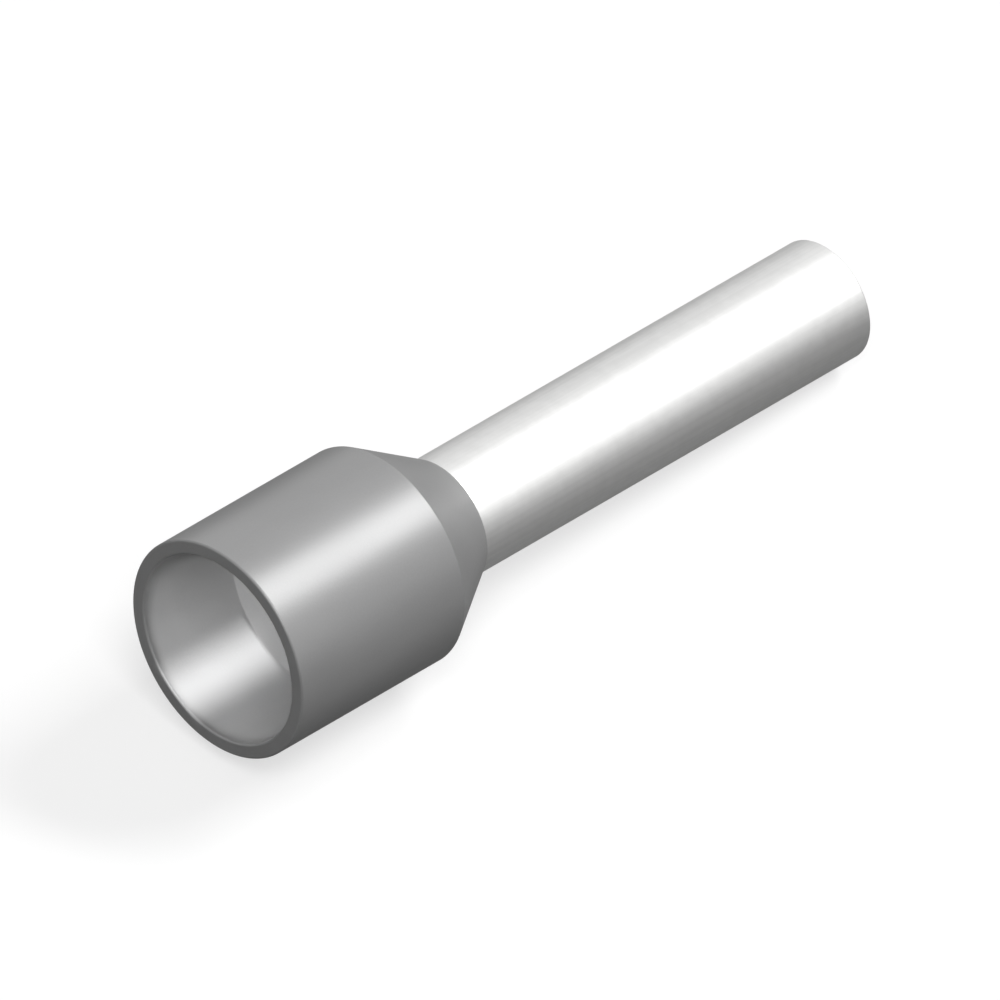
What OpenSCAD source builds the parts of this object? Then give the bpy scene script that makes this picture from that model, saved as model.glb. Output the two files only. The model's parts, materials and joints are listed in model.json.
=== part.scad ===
// Insulated wire ferrule: a flared metal sleeve held in a moulded collar, lying on a surface as it comes to rest.
// Both pieces are turned about one axis, from the sleeve's cut end to the collar's mouth.
// It lies on two edges, the collar's shoulder and the sleeve's cut end, so that axis rises a little to the mouth.
// Millimetres, +Z up, the surface at Z = 0, the mouth towards -X and the sleeve's cut end towards +X.

/* [Overall] */
// Length from the collar's mouth to the sleeve's cut end
total_l = 20; // [17:0.1:30]

/* [Insulating collar] */
// Outside diameter of the collar
collar_d = 5.6; // [4.8:0.05:8]
// Wall round the entry bore
collar_wall = 0.375; // [0.25:0.005:0.6]
// Length of the cylindrical outside
collar_cyl_l = 5.35; // [4.6:0.05:7]
// Length of the conical shoulder
shoulder_l = 1.95; // [1.4:0.05:3]
// Width of the flat ring that ends the shoulder round the sleeve
nose_land = 0.075; // [0.05:0.005:0.3]
// Depth of the straight entry bore, which takes the wire's insulation
entry_depth = 2.9; // [2:0.05:4]
// Lean of the funnel's wall from the axis, in degrees
funnel_lean = 30; // [24:1:40]
// Lean of the gripping bore's wall from the axis, in degrees
grip_lean = 1.5; // [0.5:0.1:2.5]
// Rounding of the mouth's two edges
mouth_edge_r = 0.06; // [0.02:0.01:0.1]
// Rounding of the edge between the cylinder and the shoulder
shoulder_edge_r = 0.08; // [0.02:0.01:0.3]
// Rounding of the edge between the shoulder and its flat ring
nose_edge_r = 0.03; // [0.01:0.005:0.03]
// Rounding where the entry bore turns into the funnel
funnel_edge_r = 0.1; // [0.02:0.01:0.3]

/* [Crimp sleeve] */
// Bore of the sleeve, which takes the wire's bare strands
sleeve_bore_d = 2.65; // [2.2:0.05:3.4]
// Wall of the sleeve
sleeve_wall = 0.2; // [0.15:0.01:0.3]
// How far the flared lip stays inside the entry bore's wall
lip_inset = 0.33; // [0.25:0.01:0.45]
// Bend radius of the flare, on the sleeve's outside
flare_bend_r = 0.6; // [0.3:0.05:1]
// Rounding of the sleeve's cut edges
sleeve_edge_r = 0.05; // [0.02:0.01:0.07]

/* [Fit] */
// Gap between the sleeve and the collar that grips it
seat_clearance = 0; // [0:0.005:0.05]

/* [Hidden] */

// Flat steps in one turn, and straight steps along each rounding
$fn = 180;
ROUND_STEPS = 8;

// Points are written as [distance from the axis, distance along it from the cut end]
collar_r = collar_d / 2;
entry_r = collar_r - collar_wall;
sleeve_r = sleeve_bore_d / 2 + sleeve_wall;
nose_r = sleeve_r + nose_land;
shoulder_at = total_l - collar_cyl_l;
nose_at = shoulder_at - shoulder_l;
entry_at = total_l - entry_depth;

// The collar's seat for the sleeve: a bore that widens a little from the nose to the funnel, then the funnel
seat_nose = [sleeve_r + seat_clearance / cos(grip_lean), nose_at];
funnel_foot_r = entry_r - (entry_at - nose_at) * tan(funnel_lean);
grip_l = (seat_nose.x - funnel_foot_r) / (tan(funnel_lean) - tan(grip_lean));
seat_flare = seat_nose + grip_l * [tan(grip_lean), 1];

// The sleeve's outside follows that seat, set in by the clearance
sleeve_nose = [sleeve_r, nose_at];
sleeve_flare = moved_out(seat_flare, grip_lean, funnel_lean, -seat_clearance);
lip_r = entry_r - lip_inset;
sleeve_lip = [lip_r, sleeve_flare.y + (lip_r - sleeve_flare.x) / tan(funnel_lean)];

// The two roundings that touch the surface, and how far the line between them leans
tip_rest = [sleeve_r - sleeve_edge_r, sleeve_edge_r];
shoulder_lean = atan((collar_r - nose_r) / shoulder_l);
shoulder_rest = [collar_r - shoulder_edge_r, shoulder_at + shoulder_edge_r * tan(shoulder_lean / 2)];
rest_line = shoulder_rest - tip_rest;
rest_tilt = atan2(rest_line.x, rest_line.y) + asin((shoulder_edge_r - sleeve_edge_r) / norm(rest_line));

// Where the middle of the cut end lies, so that the ferrule touches the surface and its box is centred
cut_end_z = tip_rest.x * cos(rest_tilt) + sleeve_edge_r - tip_rest.y * sin(rest_tilt);
front_reach = tip_rest.x * sin(rest_tilt) - tip_rest.y * cos(rest_tilt) + sleeve_edge_r;
mouth_rest = [collar_r - mouth_edge_r, total_l - mouth_edge_r];
back_reach = mouth_rest.y * cos(rest_tilt) + mouth_rest.x * sin(rest_tilt) + mouth_edge_r;

// Moves a wall's corner outwards by a distance, where the wall leans by the given angles before and after it
function moved_out(corner, lean_before, lean_after, distance) =
    let (lean = (lean_before + lean_after) / 2)
    corner + [cos(lean), -sin(lean)] * distance / cos(lean_after - lean);

// Points that round the corner b, between a and c, with radius r
function corner_arc(a, b, c, r) =
    let (
        back = (a - b) / norm(a - b),
        ahead = (c - b) / norm(c - b),
        half = acos(back * ahead) / 2,
        middle = (back + ahead) / norm(back + ahead),
        centre = b + middle * r / sin(half),
        first = b + back * r / tan(half) - centre,
        turn = cross(back, ahead) > 0 ? 2 * half - 180 : 180 - 2 * half
    )
    [
        for (i = [0:ROUND_STEPS])
            let (t = turn * i / ROUND_STEPS)
            centre + [first.x * cos(t) - first.y * sin(t), first.x * sin(t) + first.y * cos(t)]
    ];

// A closed outline from corners written as [point, rounding]
function rounded(corners) =
    let (n = len(corners), at = [for (k = corners) k[0]])
    [
        for (i = [0:n - 1])
            each corners[i][1] == 0
                ? [at[i]]
                : corner_arc(at[(i + n - 1) % n], at[i], at[(i + 1) % n], corners[i][1])
    ];

// Turns an outline about the ferrule's axis and lays it on the surface as it rests
module turned_and_laid(corners) {
    translate([(back_reach - front_reach) / 2, 0, cut_end_z])
        rotate([0, rest_tilt - 90, 0])
            rotate_extrude()
                polygon(rounded(corners));
}

// Thin tinned tube: widened a little where the collar grips it, and flared behind, so that it can't pull out
module crimp_sleeve() {
    color("gainsboro")
        turned_and_laid([
            [[sleeve_r, 0], sleeve_edge_r],
            [sleeve_nose, 0],
            [sleeve_flare, flare_bend_r],
            [sleeve_lip, sleeve_edge_r],
            [moved_out(sleeve_lip, funnel_lean, funnel_lean, -sleeve_wall), sleeve_edge_r],
            [moved_out(sleeve_flare, grip_lean, funnel_lean, -sleeve_wall), flare_bend_r + sleeve_wall],
            [moved_out(sleeve_nose, 0, grip_lean, -sleeve_wall), 0],
            [[sleeve_r - sleeve_wall, 0], sleeve_edge_r]
        ]);
}

// Moulded collar: entry bore for the wire's insulation, funnel, and the bore that grips the sleeve
module insulating_collar() {
    color("gray")
        turned_and_laid([
            [seat_nose, 0],
            [seat_flare, flare_bend_r - seat_clearance],
            [[entry_r, entry_at], funnel_edge_r],
            [[entry_r, total_l], mouth_edge_r],
            [[collar_r, total_l], mouth_edge_r],
            [[collar_r, shoulder_at], shoulder_edge_r],
            [[nose_r, nose_at], nose_edge_r]
        ]);
}

crimp_sleeve();
insulating_collar();
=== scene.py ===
import json
import math

import bpy
from mathutils import Matrix, Vector


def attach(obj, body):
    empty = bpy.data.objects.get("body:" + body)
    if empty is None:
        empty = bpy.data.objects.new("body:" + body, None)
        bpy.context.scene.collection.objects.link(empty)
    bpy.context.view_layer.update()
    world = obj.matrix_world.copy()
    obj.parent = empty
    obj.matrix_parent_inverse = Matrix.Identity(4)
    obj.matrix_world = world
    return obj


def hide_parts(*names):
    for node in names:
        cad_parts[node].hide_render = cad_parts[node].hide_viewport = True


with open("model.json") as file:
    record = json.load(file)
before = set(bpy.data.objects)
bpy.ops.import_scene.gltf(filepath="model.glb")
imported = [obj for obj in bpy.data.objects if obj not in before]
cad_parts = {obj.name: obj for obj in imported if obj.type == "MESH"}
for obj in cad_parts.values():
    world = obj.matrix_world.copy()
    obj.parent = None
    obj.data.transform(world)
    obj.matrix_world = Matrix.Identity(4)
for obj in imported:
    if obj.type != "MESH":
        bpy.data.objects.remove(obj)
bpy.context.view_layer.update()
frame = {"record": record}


# Crimp sleeve: a thin tube drawn from copper, cut to length, flared behind and tinned all over in a barrel.
# The flare sits in the collar's funnel, so that the sleeve can't be pulled out, and the wire's strands slide
# through it until they show at the cut end. A tool later squeezes it on them.
MM = 0.001
SLEEVE_BORE_R = 1.325 * MM
SLEEVE_WALL = 0.2 * MM
SLEEVE_EDGE_R = 0.05 * MM
GRIP_FROM = 12.7 * MM
GRIP_LEAN = math.radians(1.5)
GRIP_BEND_R = 2 * MM
FLARE_LEAN = math.radians(30)
FLARE_BEND_R = 0.6 * MM
ENTRY_R = 2.425 * MM
ENTRY_FROM = 17.1 * MM
LIP_INSET = 0.33 * MM
STEPS_ROUND = 256
STEPS_PER_BEND = 10

# The frame names the bare sleeve as a pin, which stops short of the cut end by the edge's rounding.
pin = next(mount for mount in frame["record"]["mounts"] if mount["name"] == "terminal_end")
to_tip = Vector(pin["axis"]).normalized()
pin_half = pin["dims"]["length_mm"] / 2 * MM
cut_end = Vector(pin["pos_m"]) + to_tip * (pin_half + SLEEVE_EDGE_R)
lay = Matrix.Translation(cut_end) @ Vector((0, 0, 1)).rotation_difference(-to_tip).to_matrix().to_4x4()


def outline(corners):
    """Points round a closed profile, each with its normal, which points out of the piece.

    A corner is its radius, its place behind the cut end and its rounding. The corners run anticlockwise.
    """
    points = []
    for i, (radius, place, rounding) in enumerate(corners):
        at = Vector((radius, place))
        onto = (at - Vector(corners[i - 1][:2])).normalized()
        off = (Vector(corners[(i + 1) % len(corners)][:2]) - at).normalized()
        turn = math.atan2(onto.x * off.y - onto.y * off.x, onto.dot(off))
        first = Vector((onto.y, -onto.x))
        last = Vector((off.y, -off.x))
        reach = math.copysign(rounding, turn)
        centre = at - (first + last) * reach / (1 + first.dot(last))
        for step in range(STEPS_PER_BEND + 1):
            angle = turn * step / STEPS_PER_BEND
            c, s = math.cos(angle), math.sin(angle)
            normal = Vector((first.x * c - first.y * s, first.x * s + first.y * c))
            points.append((centre + normal * reach, normal))
    return points


def turned(name, corners):
    """A piece turned about the ferrule's axis from a profile, laid where the frame has it.

    Its shading follows the profile's own normals, so that straight walls stay straight up to their edges.
    """
    profile = outline(corners)
    count = len(profile)
    spots = []
    normals = []
    for turn in range(STEPS_ROUND):
        angle = math.tau * turn / STEPS_ROUND
        c, s = math.cos(angle), math.sin(angle)
        spots += [lay @ Vector((point.x * c, point.x * s, point.y)) for point, _ in profile]
        normals += [lay.to_3x3() @ Vector((normal.x * c, normal.x * s, normal.y)) for _, normal in profile]
    faces = []
    for turn in range(STEPS_ROUND):
        here = turn * count
        there = (turn + 1) % STEPS_ROUND * count
        for i in range(count):
            j = (i + 1) % count
            faces.append((here + i, there + i, there + j, here + j))
    mesh = bpy.data.meshes.new(name)
    mesh.from_pydata(spots, [], faces)
    mesh.shade_smooth()
    mesh.normals_split_custom_set_from_vertices(normals)
    piece = bpy.data.objects.new(name, mesh)
    bpy.context.scene.collection.objects.link(piece)
    return piece


class Wire:
    """A socket of a node. Python's own arithmetic on it adds the Math nodes that it stands for."""

    def __init__(self, socket):
        self.socket = socket

    def add(self, kind, settings, inputs, output=0):
        """Adds one node: its settings first, then the values or wires of its sockets."""
        tree = self.socket.id_data
        node = tree.nodes.new(kind)
        for name, value in settings.items():
            setattr(node, name, value)
        for name, value in inputs.items():
            if isinstance(value, Wire):
                tree.links.new(value.socket, node.inputs[name])
            else:
                node.inputs[name].default_value = value
        return Wire(node.outputs[output])

    def beside(self, output):
        """Another output of the node that this one comes out of."""
        return Wire(self.socket.node.outputs[output])

    def into(self, socket):
        """Leads this wire into a socket of another node."""
        self.socket.id_data.links.new(self.socket, socket)

    def maths(self, operation, *values):
        return self.add("ShaderNodeMath", {"operation": operation}, dict(enumerate(values)))

    def __add__(self, other):
        return self.maths("ADD", self, other)

    def __sub__(self, other):
        return self.maths("SUBTRACT", self, other)

    def __rsub__(self, other):
        return self.maths("SUBTRACT", other, self)

    def __mul__(self, other):
        return self.maths("MULTIPLY", self, other)

    def __abs__(self):
        return self.maths("ABSOLUTE", self)

    __radd__ = __add__
    __rmul__ = __mul__

    def shortened(self, share):
        """This place with a share of its length along the axis, so that its patterns run long that way."""
        return self.add("ShaderNodeVectorMath", {"operation": "MULTIPLY"}, {0: self, 1: (1, 1, share)})

    def noise(self, size, detail):
        """Noise from 0 to 1 whose patches are about that size in metres."""
        return self.add("ShaderNodeTexNoise", {}, {"Vector": self, "Scale": 1 / size, "Detail": detail})

    def between(self, low, high):
        """0 below the low value and 1 above the high one, with a soft step between."""
        inputs = {"Value": self, "From Min": low, "From Max": high}
        return self.add("ShaderNodeMapRange", {"interpolation_type": "SMOOTHSTEP"}, inputs)

    def mixed(self, dark, light):
        """A colour between two, by this factor."""
        inputs = {"Factor": self, "A": (*dark, 1), "B": (*light, 1)}
        return self.add("ShaderNodeMix", {"data_type": "RGBA"}, inputs, "Result")

    def relief(self, strength, depth):
        """The normal of a surface that this pattern raises by up to that depth in metres."""
        return self.add("ShaderNodeBump", {}, {"Strength": strength, "Distance": depth, "Height": self})


def material_of(name, **constants):
    """A new material with its plain values, and its shader's node."""
    material = bpy.data.materials.new(name)
    material.use_nodes = True
    shader = material.node_tree.nodes["Principled BSDF"]
    for socket, value in constants.items():
        shader.inputs[socket.replace("_", " ")].default_value = value
    return material, shader


def spot_on(shader):
    """The place on a piece, measured from the middle of the cut end and along the ferrule's axis."""
    place = Wire(shader.inputs["Normal"]).add("ShaderNodeTexCoord", {}, {}, "Object")
    inputs = {"Vector": place, "Location": cut_end, "Rotation": lay.to_euler()}
    return place.add("ShaderNodeMapping", {"vector_type": "TEXTURE"}, inputs)


# Lines run along the tube from its drawing, and the barrel leaves a slight cloud and small pits in the tin.
TIN_DULL = (0.625, 0.625, 0.62)
TIN_BRIGHT = (0.67, 0.67, 0.665)
TIN_TONE_SPAN = (0.35, 0.65)
TIN_ROUGHNESS = 0.47
LINE_WIDTH = 0.11 * MM
LINE_SHORTENING = 0.012
LINE_ROUGHNESS = 0.04
CLOUD_SIZE = 0.3 * MM
CLOUD_SHARE = 0.4
CLOUD_ROUGHNESS = 0.01
PIT_SIZE = 0.07 * MM
PIT_SHARE = 0.4
TIN_RELIEF_STRENGTH = 0.6
TIN_RELIEF_DEPTH = 0.0012 * MM

tin, shader = material_of("satin_tin", Metallic=1.0)
spot = spot_on(shader)
lines = spot.shortened(LINE_SHORTENING).noise(LINE_WIDTH, detail=4)
cloud = spot.noise(CLOUD_SIZE, detail=3)
pits = spot.noise(PIT_SIZE, detail=2)
tone = cloud * CLOUD_SHARE + lines * (1 - CLOUD_SHARE)
tone.between(*TIN_TONE_SPAN).mixed(TIN_DULL, TIN_BRIGHT).into(shader.inputs["Base Color"])
(TIN_ROUGHNESS + CLOUD_ROUGHNESS * cloud + LINE_ROUGHNESS * lines).into(shader.inputs["Roughness"])
height = lines * (1 - PIT_SHARE) + pits * PIT_SHARE
height.relief(TIN_RELIEF_STRENGTH, TIN_RELIEF_DEPTH).into(shader.inputs["Normal"])

# The sleeve's outside follows the collar's seat: it widens a little from the grip's start to the flare, and
# the flare leans as the funnel does, which runs in from the end of the entry bore.
grip = Vector((SLEEVE_BORE_R + SLEEVE_WALL, GRIP_FROM))
funnel_foot_r = ENTRY_R - (ENTRY_FROM - GRIP_FROM) * math.tan(FLARE_LEAN)
grip_length = (grip.x - funnel_foot_r) / (math.tan(FLARE_LEAN) - math.tan(GRIP_LEAN))
flare = grip + Vector((math.tan(GRIP_LEAN), 1)) * grip_length
lip_r = ENTRY_R - LIP_INSET
lip = Vector((lip_r, flare.y + (lip_r - flare.x) / math.tan(FLARE_LEAN)))


def inward(corner, lean_before, lean_after):
    """The same corner on the tube's inside, one wall further in."""
    lean = (lean_before + lean_after) / 2
    return corner - Vector((math.cos(lean), -math.sin(lean))) * SLEEVE_WALL / math.cos(lean_after - lean)


crimp_sleeve = turned("tinned_crimp_sleeve", [
    (grip.x, 0, SLEEVE_EDGE_R),
    (*grip, GRIP_BEND_R),
    (*flare, FLARE_BEND_R),
    (*lip, SLEEVE_EDGE_R),
    (*inward(lip, FLARE_LEAN, FLARE_LEAN), SLEEVE_EDGE_R),
    (*inward(flare, GRIP_LEAN, FLARE_LEAN), FLARE_BEND_R + SLEEVE_WALL),
    (*inward(grip, 0, GRIP_LEAN), GRIP_BEND_R),
    (SLEEVE_BORE_R, 0, SLEEVE_EDGE_R),
])
crimp_sleeve.data.materials.append(tin)
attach(crimp_sleeve, "root")
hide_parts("crimp_sleeve")


# Insulating collar: a small polypropylene moulding, grey right through, that takes the end of the wire's
# insulation. Its bore narrows through a funnel to the close bore that grips the sleeve, and it is pushed
# over the sleeve from the cut end until the flare seats in the funnel.
COLLAR_R = 2.8 * MM
MOUTH_AT = 20 * MM
SHOULDER_AT = 14.65 * MM
NOSE_R = 1.6 * MM
MOUTH_EDGE_R = 0.06 * MM
SHOULDER_EDGE_R = 0.08 * MM
NOSE_EDGE_R = 0.03 * MM
FUNNEL_EDGE_R = 0.1 * MM
GRIP_EDGE_R = 0.005 * MM

# The melt leaves slow changes of tone along the way that it flowed, and the mould a fine grain.
GREY_DARK = (0.212, 0.212, 0.213)
GREY_LIGHT = (0.236, 0.236, 0.237)
GREY_TONE_SPAN = (0.3, 0.7)
GREY_ROUGHNESS = 0.36
FLOW_WIDTH = 1.4 * MM
FLOW_SHORTENING = 0.35
FLOW_ROUGHNESS = 0.06
GRAIN_SIZE = 0.055 * MM
GRAIN_SHARE = 0.25
GRAIN_RELIEF_STRENGTH = 0.5
GRAIN_RELIEF_DEPTH = 0.002 * MM

plastic, shader = material_of("moulded_grey", IOR=1.49, Specular_IOR_Level=1.0)
spot = spot_on(shader)
flow = spot.shortened(FLOW_SHORTENING).noise(FLOW_WIDTH, detail=3)
grain = spot.noise(GRAIN_SIZE, detail=2)
tone = flow * (1 - GRAIN_SHARE) + grain * GRAIN_SHARE
tone.between(*GREY_TONE_SPAN).mixed(GREY_DARK, GREY_LIGHT).into(shader.inputs["Base Color"])
(GREY_ROUGHNESS + FLOW_ROUGHNESS * flow).into(shader.inputs["Roughness"])
grain.relief(GRAIN_RELIEF_STRENGTH, GRAIN_RELIEF_DEPTH).into(shader.inputs["Normal"])

insulating_collar = turned("moulded_collar", [
    (NOSE_R, GRIP_FROM, NOSE_EDGE_R),
    (COLLAR_R, SHOULDER_AT, SHOULDER_EDGE_R),
    (COLLAR_R, MOUTH_AT, MOUTH_EDGE_R),
    (ENTRY_R, MOUTH_AT, MOUTH_EDGE_R),
    (ENTRY_R, ENTRY_FROM, FUNNEL_EDGE_R),
    (*flare, FLARE_BEND_R),
    (*grip, GRIP_EDGE_R),
])
insulating_collar.data.materials.append(plastic)
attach(insulating_collar, "root")
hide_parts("insulating_collar")


# Table: a wide sheet of matt white board that the ferrule lies on. It shows the ferrule's soft shadow, and
# the white behind it runs on past its edge. It is darker in reflections and in the light that it throws
# back, so that the ferrule's underside stays dark.
TABLE_HALF = 1.0
TABLE_WHITE = 0.96
BOUNCE_WHITE = 0.13
SEEN_GLOW = 0.65
MIRRORED_GLOW = 0.1

table_corners = [(x * TABLE_HALF, y * TABLE_HALF, 0) for x, y in ((-1, -1), (1, -1), (1, 1), (-1, 1))]
table_mesh = bpy.data.meshes.new("table")
table_mesh.from_pydata(table_corners, [], [(0, 1, 2, 3)])
table = bpy.data.objects.new("table", table_mesh)
bpy.context.scene.collection.objects.link(table)
board, shader = material_of("white_board", Roughness=1.0, Specular_IOR_Level=0.0)
surface = board.node_tree.nodes["Material Output"].inputs["Surface"]
seen = Wire(surface).add("ShaderNodeLightPath", {}, {}, "Is Camera Ray")
mirrored = seen.beside("Is Glossy Ray") + seen.beside("Is Transmission Ray")
seen.mixed((BOUNCE_WHITE,) * 3, (TABLE_WHITE,) * 3).into(shader.inputs["Base Color"])
glow = seen.add("ShaderNodeEmission", {}, {"Color": (1, 1, 1, 1), "Strength": 1.0})
glow_share = seen * SEEN_GLOW + mirrored * MIRRORED_GLOW
layers = {0: glow_share, 1: Wire(shader.outputs["BSDF"]), 2: glow}
seen.add("ShaderNodeMixShader", {}, layers).into(surface)
table_mesh.materials.append(board)


# Studio: white all round for the camera and in reflections, with only a low light from it on the ferrule.
# A softbox behind the cut end draws the bright line along collar and sleeve, one stands over the mouth and
# one behind. Two narrow lamps shine into the mouth, and the slot-shaped beam of one draws the bore's streak.
ROOM_LIGHT = 0.12
SOFTBOX_DISTANCE = 0.6
MOUTH_LAMP_DISTANCE = 0.2
MOUTH_BEAM_R = 1.75 * MM
SLOT_HALF_ACROSS = 1.04 * MM
SLOT_HALF_ALONG = 1.28 * MM
SLOT_FADE = 0.15 * MM

world = bpy.data.worlds.new("studio")
bpy.context.scene.world = world
world.use_nodes = True
room = world.node_tree.nodes["Background"]
room.inputs["Color"].default_value = (1, 1, 1, 1)
path = Wire(room.inputs["Strength"]).add("ShaderNodeLightPath", {}, {}, "Is Camera Ray")
shown = path + path.beside("Is Glossy Ray") + path.beside("Is Transmission Ray")
(ROOM_LIGHT + (1 - ROOM_LIGHT) * shown).into(room.inputs["Strength"])


def aimed(name, light, direction, target, distance):
    """A lamp that faces a spot from a direction, with its sides square to the ferrule's axis."""
    towards = Vector(direction).normalized()
    side = to_tip.cross(towards).normalized()
    lamp = bpy.data.objects.new(name, light)
    lamp.location = target + towards * distance
    lamp.rotation_euler = Matrix((side, towards.cross(side), towards)).transposed().to_euler()
    lamp.visible_camera = False
    bpy.context.scene.collection.objects.link(lamp)
    return lamp


def softbox(name, direction, across, along, radiance):
    """A rectangular lamp for the whole ferrule: its sides, and how brightly its face glows."""
    light = bpy.data.lights.new(name, "AREA")
    light.shape = "RECTANGLE"
    light.size = across
    light.size_y = along
    light.energy = radiance * math.pi * across * along
    return aimed(name, light, direction, Vector(), SOFTBOX_DISTANCE)


def mouth_lamp(name, direction, widening, blend, light_there):
    """A narrow lamp that shines into the collar's mouth, with a beam that may be wider across than along.

    Its blend is the share of the beam that its soft edge takes, and light_there is its light at the mouth.
    """
    light = bpy.data.lights.new(name, "SPOT")
    light.spot_size = 2 * math.atan(MOUTH_BEAM_R / MOUTH_LAMP_DISTANCE)
    light.spot_blend = blend
    light.shadow_soft_size = 0
    light.energy = light_there * (2 * math.pi * MOUTH_LAMP_DISTANCE) ** 2
    lamp = aimed(name, light, direction, cut_end - to_tip * MOUTH_AT, MOUTH_LAMP_DISTANCE)
    lamp.scale.x = widening
    lamp.visible_glossy = False
    return light


softbox("key_softbox", direction=(0.642, -0.266, 0.719), across=0.3, along=0.1, radiance=27)
softbox("mouth_softbox", direction=(-0.387, -0.472, 0.792), across=0.28, along=0.28, radiance=9.5)
back = softbox("back_softbox", direction=(0.1, 0.86, 0.5), across=0.4, along=0.4, radiance=0.9)
back.visible_glossy = False
mouth_lamp("bore_fill_lamp", direction=(-0.679, -0.381, 0.627), widening=1.4, blend=0.2, light_there=1.25)
streak = mouth_lamp(
    "streak_lamp", direction=(-0.448, -0.4156, 0.7916), widening=1, blend=0, light_there=3.45
)

# The lamp's own nodes cut the slot: a ray's direction, times the distance, tells how far from the mouth's
# middle it lands.
streak.use_nodes = True
strength = streak.node_tree.nodes["Emission"].inputs["Strength"]
ray = Wire(strength).add("ShaderNodeTexCoord", {}, {}, "Normal")
x = ray.add("ShaderNodeSeparateXYZ", {}, {"Vector": ray}, "X")
across = abs(x) * MOUTH_LAMP_DISTANCE
along = abs(x.beside("Y")) * MOUTH_LAMP_DISTANCE
sides = 1 - across.between(0, SLOT_HALF_ACROSS)
ends = 1 - along.between(SLOT_HALF_ALONG - SLOT_FADE, SLOT_HALF_ALONG)
(sides * ends).into(strength)


# Camera: an isometric view without perspective. The ferrule's axis rises 30 degrees to the right in the
# picture, with the mouth turned towards the camera, which looks down on the table without leaning sideways.
PICTURE_PX = 1000
AXIS_MIDDLE_PX = (521, 474.4)
AXIS_LENGTH_PX = 701.6
CAMERA_DISTANCE = 0.3
CAMERA_NEAR = 0.01
CAMERA_FAR = 3

# The axis runs to the right, up and away from the camera in an isometric edge's shares of its length. The
# camera's heading, and how far it looks down, follow from them and the axis's dip towards the cut end.
RIGHT_SHARE = math.sqrt(1 / 2)
UP_SHARE = math.sqrt(1 / 6)
AWAY_SHARE = math.sqrt(1 / 3)
tip_dip = -to_tip.z
tip_level = math.sqrt(1 - tip_dip**2)
look_down = math.atan2(UP_SHARE, AWAY_SHARE) + math.asin(tip_dip / math.hypot(UP_SHARE, AWAY_SHARE))
heading = -math.acos(RIGHT_SHARE / tip_level)

metres_per_px = MOUTH_AT * math.hypot(RIGHT_SHARE, UP_SHARE) / AXIS_LENGTH_PX
camera_data = bpy.data.cameras.new("camera")
camera_data.type = "ORTHO"
camera_data.ortho_scale = PICTURE_PX * metres_per_px
camera_data.clip_start = CAMERA_NEAR
camera_data.clip_end = CAMERA_FAR
camera = bpy.data.objects.new("camera", camera_data)
bpy.context.scene.collection.objects.link(camera)
camera.rotation_euler = (math.pi / 2 - look_down, 0, heading)
axis_middle = cut_end - to_tip * MOUTH_AT / 2
right_px = PICTURE_PX / 2 - AXIS_MIDDLE_PX[0]
up_px = AXIS_MIDDLE_PX[1] - PICTURE_PX / 2
offset = Vector((right_px * metres_per_px, up_px * metres_per_px, CAMERA_DISTANCE))
camera.location = axis_middle + camera.rotation_euler.to_matrix() @ offset
bpy.context.scene.camera = camera

bpy.context.scene.view_settings.view_transform = "Standard"
